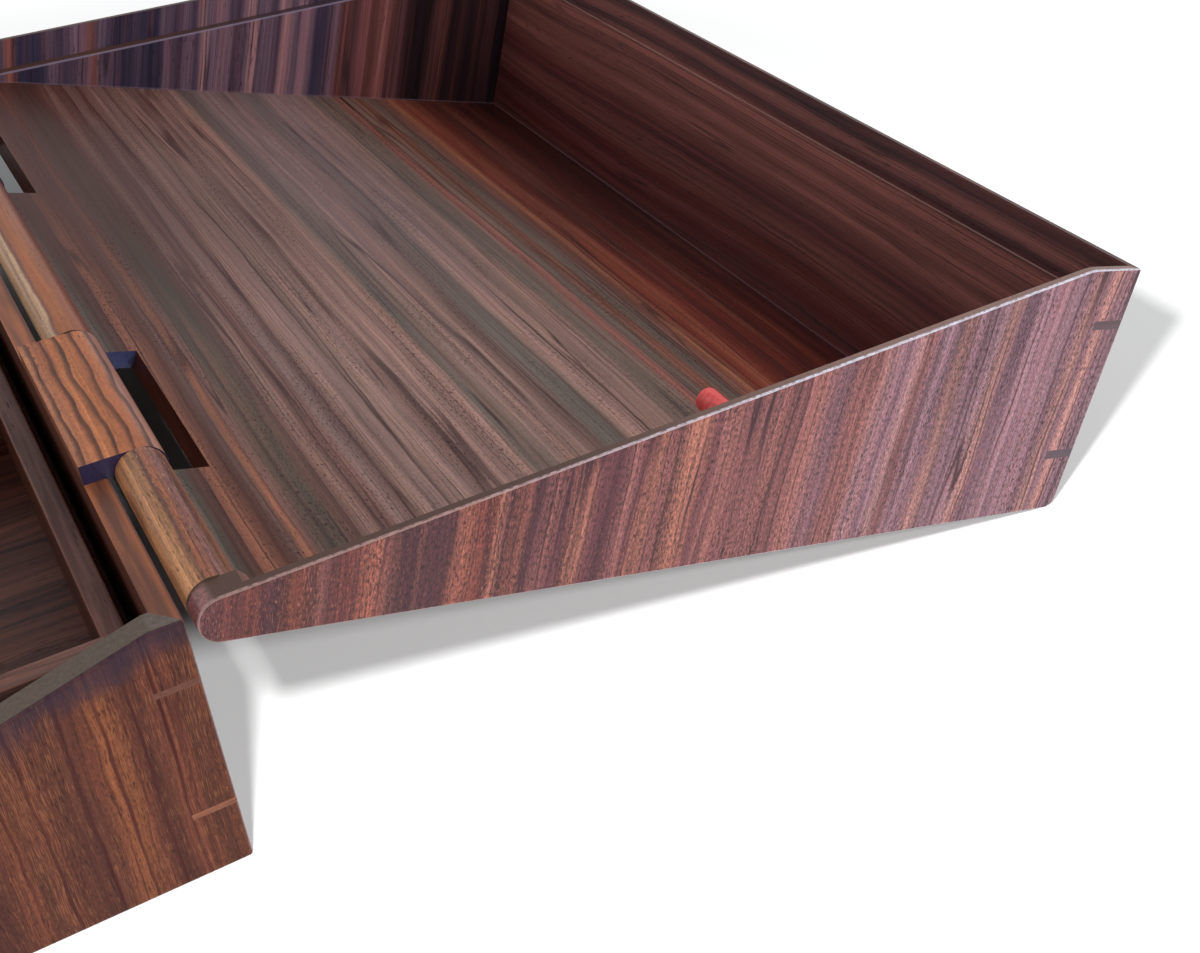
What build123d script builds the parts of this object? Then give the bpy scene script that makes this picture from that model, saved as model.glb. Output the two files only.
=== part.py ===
"""Desk letter box: a sloping base with a lift-out tray and a deep lid on a wooden barrel hinge.

The lid is swung right over and lies open behind the base, its outer end edge on the table.
X runs from the base towards the open lid, Y along the hinge and Z up. The origin is the centre
of the base's underside. Lid pieces are drawn in the lid's own frame, which starts on the hinge
axis: u runs along the lid, w from its outer face towards its rim. All sizes are in millimetres.
"""

import os
from math import asin, atan2, cos, hypot, sin

from build123d import *

# Lid
lid_length = 240.0  # hinge axis to the outer end face
lid_width = 356.0
lid_depth = 73.6  # outer face of the panel to the rim
axis_inset = 5.75  # outer face of the panel to the hinge axis
panel_thickness = 4.8
lid_wall = 6.9
lip_thickness = 2.5  # what the rebate leaves of a wall
rebate_depth = 10.8  # rim to ledge
rim_flat = 18.4  # level stretch of the sides' edge beside the end wall
edge_at_axis = 5.7  # height of the sides' sloping edge over the hinge axis
nose_reach = 6.1  # how far the sides run past the hinge axis
nose_radius = 5.3
shoulder_radius = 15.0  # where the sloping edge meets the level stretch
lid_edge_radius = 3.0  # end wall's foot
lid_arris_radius = 0.5
panel_tongue_depth = 2.5
panel_tongue_thickness = 1.8
panel_tongue_start = 22.0  # hinge axis to where the side grooves begin

# Hinge
barrel_radius = 5.8
barrel_offset = 0.6  # hinge axis to the barrels' middle, away from the panel
panel_rear_edge = 2.5  # hinge axis to the panel's coved edge
pin_radius = 1.5
plug_length = 4.0
knuckle_radius = 5.7
knuckle_length = 60.8
knuckle_offset = 87.6  # middle of the lid to the middle of a knuckle
knuckle_tongue_thickness = 2.4
knuckle_tongue_length = 42.0
knuckle_tongue_depth = 10.0
running_gap = 0.05  # pin to knuckle bore
end_gap = 0.3  # knuckle to the ends of its slot
swing_gap = 0.5  # between pieces that pass each other at the hinge

# Base
base_side_thickness = 6.2
base_wall_thickness = 5.5  # rear and front walls
front_height = 12.8
rear_setback = 7.75  # hinge axis to the rear wall's outer face
base_arris_radius = 0.9
bottom_thickness = 4.0
bottom_tongue_depth = 2.5
bottom_tongue_thickness = 1.8
lip_gap = 1.1  # base to the closed lid's lip, so that the wood can move
seat_gap = 0.25  # base to the closed lid's ledge

# Tray
tray_wall = 5.2
tray_height = 31.4
tray_length = 100.0
tray_drop = 9.4  # rear wall's top to the tray's top
tray_rear_gap = 4.0
tray_side_gap = 4.8
tray_floor_thickness = 3.0
tray_floor_lift = 1.0  # tray's underside to its floor
tray_groove_depth = 2.2
tray_arris_radius = 0.5
end_bay_length = 122.7
divider_thickness = 4.6
divider_drop = 3.0
divider_housing = 1.5
runner_width = 13.0
runner_height = 6.0
runner_past_tray = 5.0

# Slips across the mitred corners
lid_slip_thickness = 2.6
lid_slip_leg = 11.0
lid_slip_heights = (18.1, 57.6)  # above the lid's outer face
base_slip_thickness = 1.6
base_slip_leg = 10.0
rear_slip_heights = (18.7, 54.8)  # above the table

# Peg inside the lid
peg_radius = 3.15
peg_length = 17.0
peg_seat = 3.2
peg_tip_radius = 0.8
peg_tray_gap = 4.1  # tray to the peg, with the lid closed
peg_edge_gap = 0.3  # base's sloping edge to the peg, with the lid closed


# Lid frame ---------------------------------------------------------------------------------
half_width = lid_width / 2
panel_inner = panel_thickness - axis_inset
rim_w = lid_depth - axis_inset
ledge_rim = rim_w - rebate_depth
rim_start = lid_length - rim_flat
edge_slope = (rim_w - edge_at_axis) / rim_start
ledge_start = (panel_inner + rebate_depth - edge_at_axis) / edge_slope
boss_radius = rear_setback - swing_gap
hinge_height = front_height + seat_gap + ledge_rim  # hinge axis above the table

# The lid lies open with the rounded edge of its end wall on the table.
corner_u = lid_length - lid_edge_radius
corner_w = axis_inset - lid_edge_radius
lid_tilt = asin((hinge_height - lid_edge_radius) / hypot(corner_u, corner_w)) - atan2(corner_w, corner_u)
lid_along = Vector(cos(lid_tilt), 0, -sin(lid_tilt))
lid_up = Vector(sin(lid_tilt), 0, cos(lid_tilt))


def edge_height(u):
    """Height of the lid sides' sloping edge."""
    return edge_at_axis + edge_slope * u


# Base outline, seen from above and measured from the hinge axis
base_half = half_width - lip_thickness - lip_gap
side_inner = base_half - base_side_thickness
base_front = -(lid_length - lip_thickness - lip_gap)
front_inner = base_front + base_wall_thickness
base_rear = -rear_setback
rear_inner = base_rear - base_wall_thickness
base_top = -panel_inner - seat_gap
front_top = -ledge_rim - seat_gap
base_bottom = -hinge_height
hinge_x = -(base_front + base_rear) / 2
slot_reach = hypot(rear_inner, knuckle_radius) + swing_gap

# Tray outline, measured from the hinge axis
tray_rear = rear_inner - tray_rear_gap
tray_front = tray_rear - tray_length
tray_half = side_inner - tray_side_gap
tray_top = base_top - tray_drop
tray_bottom = tray_top - tray_height
tray_floor_bottom = tray_bottom + tray_floor_lift
tray_floor_top = tray_floor_bottom + tray_floor_thickness
divider_y = tray_half - tray_wall - end_bay_length - divider_thickness / 2

# Peg, in the lid frame: it clears the base's edge and the tray when the lid is closed
peg_u = -tray_front + peg_tray_gap + peg_radius
peg_w = edge_height(peg_u) - rebate_depth + seat_gap - (peg_radius + peg_edge_gap) * hypot(1, edge_slope)


def lid_point(u, y, w):
    """A point of the lid frame in the object's frame."""
    return Vector(hinge_x, y, hinge_height) + lid_along * u + lid_up * w


def lid_profile(y):
    """Plane across the hinge with u and w as its axes; its normal points to -Y."""
    return Plane(origin=lid_point(0, y, 0), x_dir=lid_along, z_dir=(0, -1, 0))


def lid_plan(w):
    """Plane along the lid's panel with u and y as its axes."""
    return Plane(origin=lid_point(0, 0, w), x_dir=lid_along, z_dir=lid_up)


def base_profile(y):
    """Upright plane across the hinge, starting on its axis; its normal points to -Y."""
    return Plane(origin=(hinge_x, y, hinge_height), x_dir=(1, 0, 0), z_dir=(0, -1, 0))


def base_plan(z):
    """Level plane at a height from the hinge axis, starting above or below that axis."""
    return Plane(origin=(hinge_x, 0, hinge_height + z))


def prism(plane, points, depth, mode=Mode.ADD):
    """A filled outline on a plane, drawn out along the plane's normal."""
    with BuildSketch(plane) as shape:
        Polygon(*points, align=None)
    extrude(shape.sketch, amount=depth, mode=mode)


def block(plane, low, high, depth, mode=Mode.ADD):
    """A block over the rectangle from low to high on a plane."""
    prism(plane, [low, (high[0], low[1]), high, (low[0], high[1])], depth, mode)


def axle(radius, start, end, mode=Mode.ADD):
    """A round bar or bore on the hinge axis, from y = start to y = end."""
    with BuildSketch(base_profile(end)) as shape:
        Circle(radius)
    extrude(shape.sketch, amount=end - start, mode=mode)


def barrel_bar(start, end, mode=Mode.ADD):
    """The lid's round rear edge, or its cove in the panel, from y = start to y = end."""
    with BuildSketch(lid_profile(end)) as shape:
        with Locations((-barrel_offset, 0)):
            Circle(barrel_radius)
    extrude(shape.sketch, amount=end - start, mode=mode)


def corner_slip(plane, corner, towards, leg, thickness, mode=Mode.ADD):
    """A triangular slip in an outer corner; towards gives the signs of its legs along the walls."""
    first = (corner[0] + towards[0] * leg, corner[1])
    second = (corner[0], corner[1] + towards[1] * leg)
    prism(plane.offset(-thickness / 2), [corner, first, second], thickness, mode)


def mirror_of(piece):
    """The same piece on the other side of the box's middle."""
    with BuildPart() as twin:
        mirror(piece.part, about=Plane.XZ)
    return twin


pieces = {}


def keep(name, piece):
    """Label a finished piece and list it for writing."""
    piece.part.label = name
    pieces[name] = piece.part


# Lid ---------------------------------------------------------------------------------------
lid_inner = half_width - lid_wall
lid_bottom_plan = lid_plan(-axis_inset)


def panel_tongue(mode):
    """The thin tongue round three sides of the lid's panel, or its groove."""
    level = (panel_inner - axis_inset - panel_tongue_thickness) / 2
    end = lid_length - lid_wall + panel_tongue_depth
    reach = lid_inner + panel_tongue_depth
    block(lid_plan(level), (panel_tongue_start, -reach), (end, reach), panel_tongue_thickness, mode)


def lid_corner_slips(side, mode=Mode.ADD):
    """The slips in one outer corner of the lid, or their saw cuts."""
    for height in lid_slip_heights:
        corner = (lid_length, side * half_width)
        plane = lid_plan(height - axis_inset)
        corner_slip(plane, corner, (-1, -side), lid_slip_leg, lid_slip_thickness, mode)


slot_half = knuckle_length / 2 + end_gap

with BuildPart() as lid_form:
    with BuildSketch(lid_profile(half_width)) as lid_outline:
        Polygon(
            (-nose_reach, -axis_inset),
            (lid_length, -axis_inset),
            (lid_length, rim_w),
            (rim_start, rim_w),
            (-nose_reach, edge_height(-nose_reach)),
            align=None,
        )
        fillet(lid_outline.vertices().group_by(Axis.X)[0], nose_radius)
        fillet(lid_outline.vertices().sort_by_distance((lid_length, -axis_inset))[0], lid_edge_radius)
        fillet(lid_outline.vertices().sort_by_distance((lid_length, rim_w))[0], lid_arris_radius)
        fillet(lid_outline.vertices().sort_by_distance((rim_start, rim_w))[0], shoulder_radius)
    extrude(amount=lid_width)
    fillet(lid_form.faces().filter_by(Axis.Y).edges(), lid_arris_radius)

with BuildPart() as lid_side:
    plan = [
        (-nose_reach, -half_width),
        (lid_length, -half_width),
        (lid_length - lid_wall, -lid_inner),
        (-nose_reach, -lid_inner),
    ]
    prism(lid_bottom_plan, plan, lid_depth)
    add(lid_form.part, mode=Mode.INTERSECT)
    with BuildSketch(lid_profile(-lid_inner)):
        Polygon(
            (0, panel_inner),
            (ledge_start, panel_inner),
            (rim_start, ledge_rim),
            (lid_length, ledge_rim),
            (lid_length, lid_depth),
            (0, lid_depth),
            align=None,
        )
        Circle(boss_radius, mode=Mode.SUBTRACT)
    extrude(amount=lid_wall - lip_thickness, mode=Mode.SUBTRACT)
    panel_tongue(Mode.SUBTRACT)
    axle(pin_radius, -half_width, -lid_inner, Mode.SUBTRACT)
    lid_corner_slips(-1, Mode.SUBTRACT)

keep("lid_side_far", mirror_of(lid_side))

with BuildPart() as lid_side_near:
    add(lid_side.part)
    with BuildSketch(lid_profile(-lid_inner)):
        with Locations((peg_u, peg_w)):
            Circle(peg_radius)
    extrude(amount=peg_seat, mode=Mode.SUBTRACT)

keep("lid_side_near", lid_side_near)

with BuildPart() as lid_end_wall:
    plan = [
        (lid_length, -half_width),
        (lid_length, half_width),
        (lid_length - lid_wall, lid_inner),
        (lid_length - lid_wall, -lid_inner),
    ]
    prism(lid_bottom_plan, plan, lid_depth)
    add(lid_form.part, mode=Mode.INTERSECT)
    rebate = ((lid_length - lid_wall, -half_width), (lid_length - lip_thickness, half_width))
    block(lid_plan(ledge_rim), *rebate, rebate_depth, Mode.SUBTRACT)
    panel_tongue(Mode.SUBTRACT)
    lid_corner_slips(-1, Mode.SUBTRACT)
    lid_corner_slips(1, Mode.SUBTRACT)

keep("lid_end_wall", lid_end_wall)

with BuildPart() as lid_panel:
    field = ((panel_rear_edge, -lid_inner), (lid_length - lid_wall, lid_inner))
    block(lid_bottom_plan, *field, panel_thickness)
    panel_tongue(Mode.ADD)
    barrel_bar(-lid_inner, lid_inner, Mode.SUBTRACT)
    for slot_middle in (-knuckle_offset, knuckle_offset):
        axle(slot_reach, slot_middle - slot_half, slot_middle + slot_half, Mode.SUBTRACT)

keep("lid_panel", lid_panel)

with BuildPart() as lid_slips_near:
    lid_corner_slips(-1)
    add(lid_form.part, mode=Mode.INTERSECT)

keep("lid_slips_near", lid_slips_near)
keep("lid_slips_far", mirror_of(lid_slips_near))

with BuildPart() as red_peg:
    with BuildSketch(lid_profile(-lid_inner - peg_seat)):
        with Locations((peg_u, peg_w)):
            Circle(peg_radius)
    extrude(amount=-(peg_seat + peg_length))
    fillet(red_peg.edges().sort_by(Axis.Y)[-1], peg_tip_radius)

keep("red_peg", red_peg)

# Hinge -------------------------------------------------------------------------------------
barrel_spans = {
    "hinge_barrel_near": (-lid_inner, -knuckle_offset - slot_half),
    "hinge_barrel_middle": (-knuckle_offset + slot_half, knuckle_offset - slot_half),
    "hinge_barrel_far": (knuckle_offset + slot_half, lid_inner),
}
for barrel_name, (barrel_start, barrel_end) in barrel_spans.items():
    with BuildPart() as hinge_barrel:
        barrel_bar(barrel_start, barrel_end)
        axle(pin_radius, barrel_start, barrel_end, Mode.SUBTRACT)
    keep(barrel_name, hinge_barrel)

with BuildPart() as hinge_pin:
    axle(pin_radius, plug_length - half_width, half_width - plug_length)

keep("hinge_pin", hinge_pin)

with BuildPart() as hinge_plug_near:
    axle(pin_radius, -half_width, plug_length - half_width)

keep("hinge_plug_near", hinge_plug_near)
keep("hinge_plug_far", mirror_of(hinge_plug_near))


def knuckle_tongue(side, mode):
    """The tongue under a knuckle, or its mortise in the rear wall's top edge."""
    middle_x = (base_rear + rear_inner) / 2
    low = (middle_x - knuckle_tongue_thickness / 2, side * knuckle_offset - knuckle_tongue_length / 2)
    high = (middle_x + knuckle_tongue_thickness / 2, side * knuckle_offset + knuckle_tongue_length / 2)
    block(base_plan(base_top - knuckle_tongue_depth), low, high, knuckle_tongue_depth, mode)


with BuildPart() as knuckle_near:
    knuckle_start = -knuckle_offset - knuckle_length / 2
    axle(knuckle_radius, knuckle_start, knuckle_start + knuckle_length)
    shoulder = ((rear_inner, knuckle_start), (0, knuckle_start + knuckle_length))
    block(base_plan(base_top), *shoulder, knuckle_radius - base_top)
    knuckle_tongue(-1, Mode.ADD)
    axle(pin_radius + running_gap, knuckle_start, knuckle_start + knuckle_length, Mode.SUBTRACT)

keep("knuckle_near", knuckle_near)
keep("knuckle_far", mirror_of(knuckle_near))

# Base --------------------------------------------------------------------------------------
base_height = base_top - base_bottom


def bottom_tongue(mode):
    """The tongue round the bottom panel, or its groove in the four walls."""
    level = base_bottom + bottom_thickness - bottom_tongue_thickness
    low = (front_inner - bottom_tongue_depth, -side_inner - bottom_tongue_depth)
    high = (rear_inner + bottom_tongue_depth, side_inner + bottom_tongue_depth)
    block(base_plan(level), low, high, bottom_tongue_thickness, mode)


def rear_corner_slips(side, mode=Mode.ADD):
    """The slips in one rear corner of the base, or their saw cuts."""
    for height in rear_slip_heights:
        corner = (base_rear, side * base_half)
        plane = base_plan(base_bottom + height)
        corner_slip(plane, corner, (-1, -side), base_slip_leg, base_slip_thickness, mode)


def front_corner_slip(side, mode=Mode.ADD):
    """The slip half-way up one front corner of the base, or its saw cut."""
    corner = (base_front, side * base_half)
    plane = base_plan((base_bottom + front_top) / 2)
    corner_slip(plane, corner, (1, -side), base_slip_leg, base_slip_thickness, mode)


with BuildPart() as base_form:
    with BuildSketch(base_profile(base_half)):
        Polygon(
            (base_front, base_bottom),
            (base_rear, base_bottom),
            (base_rear, base_top),
            (-ledge_start, base_top),
            (-rim_start, front_top),
            (base_front, front_top),
            align=None,
        )
    extrude(amount=2 * base_half)
    fillet(base_form.edges(), base_arris_radius)

with BuildPart() as base_side_near:
    plan = [
        (base_front, -base_half),
        (base_rear, -base_half),
        (rear_inner, -side_inner),
        (front_inner, -side_inner),
    ]
    prism(base_plan(base_bottom), plan, base_height)
    add(base_form.part, mode=Mode.INTERSECT)
    bottom_tongue(Mode.SUBTRACT)
    rear_corner_slips(-1, Mode.SUBTRACT)
    front_corner_slip(-1, Mode.SUBTRACT)

keep("base_side_near", base_side_near)
keep("base_side_far", mirror_of(base_side_near))

with BuildPart() as base_rear_wall:
    plan = [
        (base_rear, -base_half),
        (base_rear, base_half),
        (rear_inner, side_inner),
        (rear_inner, -side_inner),
    ]
    prism(base_plan(base_bottom), plan, base_height)
    add(base_form.part, mode=Mode.INTERSECT)
    bottom_tongue(Mode.SUBTRACT)
    for wall_side in (-1, 1):
        knuckle_tongue(wall_side, Mode.SUBTRACT)
        rear_corner_slips(wall_side, Mode.SUBTRACT)

keep("base_rear_wall", base_rear_wall)

with BuildPart() as base_front_wall:
    plan = [
        (base_front, -base_half),
        (base_front, base_half),
        (front_inner, side_inner),
        (front_inner, -side_inner),
    ]
    prism(base_plan(base_bottom), plan, base_height)
    add(base_form.part, mode=Mode.INTERSECT)
    bottom_tongue(Mode.SUBTRACT)
    for wall_side in (-1, 1):
        front_corner_slip(wall_side, Mode.SUBTRACT)

keep("base_front_wall", base_front_wall)

with BuildPart() as base_bottom_panel:
    field = ((front_inner, -side_inner), (rear_inner, side_inner))
    block(base_plan(base_bottom), *field, bottom_thickness)
    bottom_tongue(Mode.ADD)

keep("base_bottom_panel", base_bottom_panel)

with BuildPart() as base_slips_rear_near:
    rear_corner_slips(-1)
    add(base_form.part, mode=Mode.INTERSECT)

keep("base_slips_rear_near", base_slips_rear_near)
keep("base_slips_rear_far", mirror_of(base_slips_rear_near))

with BuildPart() as base_slip_front_near:
    front_corner_slip(-1)
    add(base_form.part, mode=Mode.INTERSECT)

keep("base_slip_front_near", base_slip_front_near)
keep("base_slip_front_far", mirror_of(base_slip_front_near))

with BuildPart() as tray_runner_near:
    strip = ((tray_front - runner_past_tray, -side_inner), (rear_inner, runner_width - side_inner))
    block(base_plan(tray_bottom - runner_height), *strip, runner_height)

keep("tray_runner_near", tray_runner_near)
keep("tray_runner_far", mirror_of(tray_runner_near))

# Tray --------------------------------------------------------------------------------------
tray_inner_front = tray_front + tray_wall
tray_inner_rear = tray_rear - tray_wall
tray_inner_half = tray_half - tray_wall


def tray_floor_board(margin, mode=Mode.ADD):
    """The tray's floor, let into the walls by a margin, or its groove in them."""
    low = (tray_inner_front - margin, -tray_inner_half - margin)
    high = (tray_inner_rear + margin, tray_inner_half + margin)
    block(base_plan(tray_floor_bottom), low, high, tray_floor_thickness, mode)


def tray_divider(side, mode=Mode.ADD):
    """One of the tray's cross pieces, or its housings in the long walls."""
    low = (tray_inner_front - divider_housing, side * divider_y - divider_thickness / 2)
    high = (tray_inner_rear + divider_housing, side * divider_y + divider_thickness / 2)
    height = tray_top - divider_drop - tray_floor_top
    block(base_plan(tray_floor_top), low, high, height, mode)


with BuildPart() as tray_end_near:
    plan = [
        (tray_front, -tray_half),
        (tray_rear, -tray_half),
        (tray_inner_rear, -tray_inner_half),
        (tray_inner_front, -tray_inner_half),
    ]
    prism(base_plan(tray_bottom), plan, tray_height)
    fillet(tray_end_near.faces().sort_by(Axis.Z)[-1].edges().filter_by(Axis.X), tray_arris_radius)
    tray_floor_board(tray_groove_depth, Mode.SUBTRACT)

keep("tray_end_near", tray_end_near)
keep("tray_end_far", mirror_of(tray_end_near))

tray_long_walls = {
    "tray_rear_wall": (tray_rear, tray_inner_rear),
    "tray_front_wall": (tray_front, tray_inner_front),
}
for wall_name, (outer_x, inner_x) in tray_long_walls.items():
    with BuildPart() as tray_long_wall:
        plan = [
            (outer_x, -tray_half),
            (outer_x, tray_half),
            (inner_x, tray_inner_half),
            (inner_x, -tray_inner_half),
        ]
        prism(base_plan(tray_bottom), plan, tray_height)
        fillet(tray_long_wall.faces().sort_by(Axis.Z)[-1].edges().filter_by(Axis.Y), tray_arris_radius)
        tray_floor_board(tray_groove_depth, Mode.SUBTRACT)
        for wall_side in (-1, 1):
            tray_divider(wall_side, Mode.SUBTRACT)
    keep(wall_name, tray_long_wall)

with BuildPart() as tray_floor:
    tray_floor_board(tray_groove_depth)

keep("tray_floor", tray_floor)

with BuildPart() as tray_divider_near:
    tray_divider(-1)

keep("tray_divider_near", tray_divider_near)
keep("tray_divider_far", mirror_of(tray_divider_near))

# Output ------------------------------------------------------------------------------------
os.makedirs("parts", exist_ok=True)
for name, piece in pieces.items():
    export_step(piece, f"parts/{name}.step")
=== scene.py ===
"""Desk letter box: looks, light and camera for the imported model."""
from math import cos, radians, sin

import bpy
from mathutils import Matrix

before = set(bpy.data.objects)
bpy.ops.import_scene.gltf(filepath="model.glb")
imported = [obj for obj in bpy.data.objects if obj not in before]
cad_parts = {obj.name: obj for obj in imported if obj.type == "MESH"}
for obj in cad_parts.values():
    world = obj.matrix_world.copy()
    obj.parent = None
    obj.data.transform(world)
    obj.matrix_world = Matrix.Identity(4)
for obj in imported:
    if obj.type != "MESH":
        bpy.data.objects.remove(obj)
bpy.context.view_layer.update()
scene = bpy.context.scene

# Sizes in millimetres, in the model's own frame ------------------------------------------------
HINGE = (122.075, 0.0, 70.1)
LID_TILT = radians(15.7807)
LID_ALONG = (cos(LID_TILT), 0.0, -sin(LID_TILT))
LID_UP = (sin(LID_TILT), 0.0, cos(LID_TILT))
X, Y, Z = (1, 0, 0), (0, 1, 0), (0, 0, 1)
LID_HALF_WIDTH = 178.0
LID_INNER_FACE = 171.1
LEDGE_AT_AXIS = -5.1  # the side ledges' line, carried on to the hinge axis
LEDGE = 57.05  # the end wall's ledge, above the axis
END_INNER_FACE = 233.1
PANEL_FACE = -0.95
BASE_TOP = 0.7  # the base's rear edge, above the axis
BASE_SLOPE = 0.2805
SLOPE_START = -14.8
RED_LINES = (-62.0, -51.0, -45.0, -35.5, -28.5, -22.0, -17.0)
KNUCKLE_STRIPE_GAP = 3.7

SEED_STEP = 37.0  # how far apart in the noise two boards lie
RAMP_STOPS = 32  # the most that one colour ramp holds


def rgb(red, green, blue):
    """A linear colour from screen values of 0 to 255."""
    def linear(value):
        value /= 255
        return value / 12.92 if value <= 0.04045 else ((value + 0.055) / 1.055) ** 2.4
    return (linear(red), linear(green), linear(blue), 1.0)


# Tones of the wood
BLACK = rgb(20, 11, 12)
INK = rgb(36, 18, 20)
UMBER = rgb(62, 34, 30)
PLUM = rgb(74, 40, 42)
PURPLE = rgb(88, 54, 56)
RUSSET = rgb(104, 57, 46)
BRICK = rgb(124, 64, 46)
TAN = rgb(142, 88, 66)
ORANGE = rgb(160, 92, 58)
SALMON = rgb(178, 112, 94)
ROSE = rgb(160, 100, 96)
PEACH = rgb(188, 132, 124)
CHESTNUT = rgb(144, 78, 36)
STONE = rgb(64, 60, 52)
COFFEE = rgb(82, 44, 33)
CARAMEL = rgb(126, 72, 46)
BARK = rgb(104, 56, 40)
SLATE = rgb(90, 72, 80)
OLIVE = rgb(92, 76, 62)
CREAM = rgb(200, 160, 122)
HONEY = rgb(200, 138, 90)
AMBER = rgb(184, 108, 60)
# painted highlight tone for the lid sides' outer arris
HIGHLIGHT_PALE = rgb(236, 236, 252)
BLUSH = rgb(188, 150, 144)
GARNET = rgb(78, 41, 47)
RUST = rgb(118, 58, 50)
EMBER = rgb(162, 94, 78)
DAMSON = rgb(104, 56, 62)
DUSTY = rgb(134, 80, 80)
DUSK = rgb(134, 95, 109)
HEATHER = rgb(156, 116, 127)
PINK = rgb(180, 132, 134)
COCOA = rgb(100, 71, 65)
TAUPE = rgb(133, 104, 98)
SAND = rgb(136, 106, 96)
MOSS = rgb(102, 90, 82)
CLAY = rgb(116, 70, 56)
WINE = rgb(104, 42, 32)
OX = rgb(80, 32, 28)
LILAC = rgb(114, 90, 106)
VIOLET = rgb(76, 60, 80)
NAVY = rgb(54, 48, 72)
BISQUE = rgb(155, 120, 109)
MAROON = rgb(92, 46, 44)
MADDER = rgb(106, 60, 54)
SIENNA = rgb(140, 84, 76)

# Tones of single places
RIM_BROWN = rgb(76, 51, 43)
# painted highlight tone for the lid sides' outer arris, near the hinge
ARRIS_HIGHLIGHT_ROSE = rgb(168, 136, 130)
# painted highlight lines under the lid sides' ledge and along their foot
LEDGE_HIGHLIGHT = rgb(158, 142, 164)
FOOT_HIGHLIGHT = rgb(150, 122, 134)
# painted shade for the panel's far corners, and a painted grey sheen for its far middle
FAR_CORNER_SHADE = rgb(62, 26, 18)
FAR_MIDDLE_SHEEN = rgb(112, 98, 104)
SLOT_WALL = rgb(66, 30, 22)
SLOT_END = rgb(70, 78, 120)
# painted highlight lines on the end wall's ledge and foot
END_LEDGE_HIGHLIGHT = rgb(158, 120, 108)
END_FOOT_HIGHLIGHT = rgb(150, 118, 124)
RED_LINE = rgb(66, 20, 18)
STAIN = rgb(46, 34, 50)
# painted grey sheen on the base sides' top edge
SHEEN_TOP_GREY = rgb(98, 86, 76)
RUBBED_MITRE = rgb(106, 96, 92)
WALL_TOP = rgb(98, 60, 44)
WALL_STREAK = rgb(162, 94, 58)
KNUCKLE_STRIPE = rgb(60, 28, 18)
KNUCKLE_END = rgb(40, 42, 78)


# Node helpers ----------------------------------------------------------------------------------
class Graph:
    """Adds nodes to one tree. Each method returns an output socket."""

    def __init__(self, tree):
        self.tree = tree

    def node(self, kind, inputs=(), **settings):
        made = self.tree.nodes.new(kind)
        for name, value in settings.items():
            setattr(made, name, value)
        for name, value in dict(inputs).items():
            if isinstance(value, bpy.types.NodeSocket):
                self.tree.links.new(value, made.inputs[name])
            else:
                made.inputs[name].default_value = value
        return made

    def math(self, operation, a, b=0.0, c=0.0):
        return self.node("ShaderNodeMath", {0: a, 1: b, 2: c}, operation=operation).outputs[0]

    def add(self, a, b):
        return self.math("ADD", a, b)

    def mul(self, a, b):
        return self.math("MULTIPLY", a, b)

    def dot(self, vector, axis):
        made = self.node("ShaderNodeVectorMath", {0: vector, 1: axis}, operation="DOT_PRODUCT")
        return made.outputs["Value"]

    def vector(self, x, y, z):
        return self.node("ShaderNodeCombineXYZ", {0: x, 1: y, 2: z}).outputs[0]

    def step(self, value, low, high):
        """0 below low, 1 above high and smooth between; low above high turns it round."""
        inputs = {"Value": value, "From Min": low, "From Max": high}
        return self.node("ShaderNodeMapRange", inputs, interpolation_type="SMOOTHSTEP").outputs[0]

    def spread(self, value, low, high, to_low, to_high):
        inputs = {"Value": value, "From Min": low, "From Max": high, "To Min": to_low, "To Max": to_high}
        return self.node("ShaderNodeMapRange", inputs).outputs[0]

    def near(self, value, middle, reach):
        """1 at the middle, falling to 0 at reach from it."""
        return self.step(self.math("ABSOLUTE", self.math("SUBTRACT", value, middle)), reach, reach * 0.4)

    def noise(self, vector, detail=2.0, rough=0.5, scale=1.0):
        inputs = {"Vector": vector, "Scale": scale, "Detail": detail, "Roughness": rough}
        return self.node("ShaderNodeTexNoise", inputs).outputs["Fac"]

    def noise_1d(self, value, detail=2.0, scale=1.0):
        inputs = {"W": value, "Scale": scale, "Detail": detail}
        return self.node("ShaderNodeTexNoise", inputs, noise_dimensions="1D").outputs["Fac"]

    def random(self, value):
        return self.node("ShaderNodeTexWhiteNoise", {"W": value}, noise_dimensions="1D").outputs["Value"]

    def ramp(self, value, stops):
        made = self.node("ShaderNodeValToRGB", {"Fac": value})
        elements = made.color_ramp.elements
        while len(elements) < len(stops):
            elements.new(0.5)  # for now; its place comes below
        for element, (position, colour) in zip(elements, stops):
            element.position = position
            element.color = colour
        return made.outputs["Color"]

    def mix(self, factor, a, b, blend="MIX"):
        made = self.node("ShaderNodeMix", data_type="RGBA", blend_type=blend)
        sockets = (made.inputs[0], made.inputs[6], made.inputs[7])
        for socket, value in zip(sockets, (factor, a, b)):
            if isinstance(value, bpy.types.NodeSocket):
                self.tree.links.new(value, socket)
            else:
                socket.default_value = value
        return made.outputs[2]

    def brighten(self, colour, factor):
        """The colour times a brightness."""
        return self.mix(1.0, colour, self.vector(factor, factor, factor), "MULTIPLY")


def new_material(name, specular=0.5):
    """A material, its graph and its shader."""
    material = bpy.data.materials.new(name)
    material.use_nodes = True
    shader = material.node_tree.nodes["Principled BSDF"]
    shader.inputs["Specular IOR Level"].default_value = specular
    return material, Graph(material.node_tree), shader


# Wood ------------------------------------------------------------------------------------------
FINE_LINES = 0.37  # the fine growth lines' gap, as a share of the main ones'
DARKEST = 0.95  # where in its ring a growth line is darkest


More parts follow.
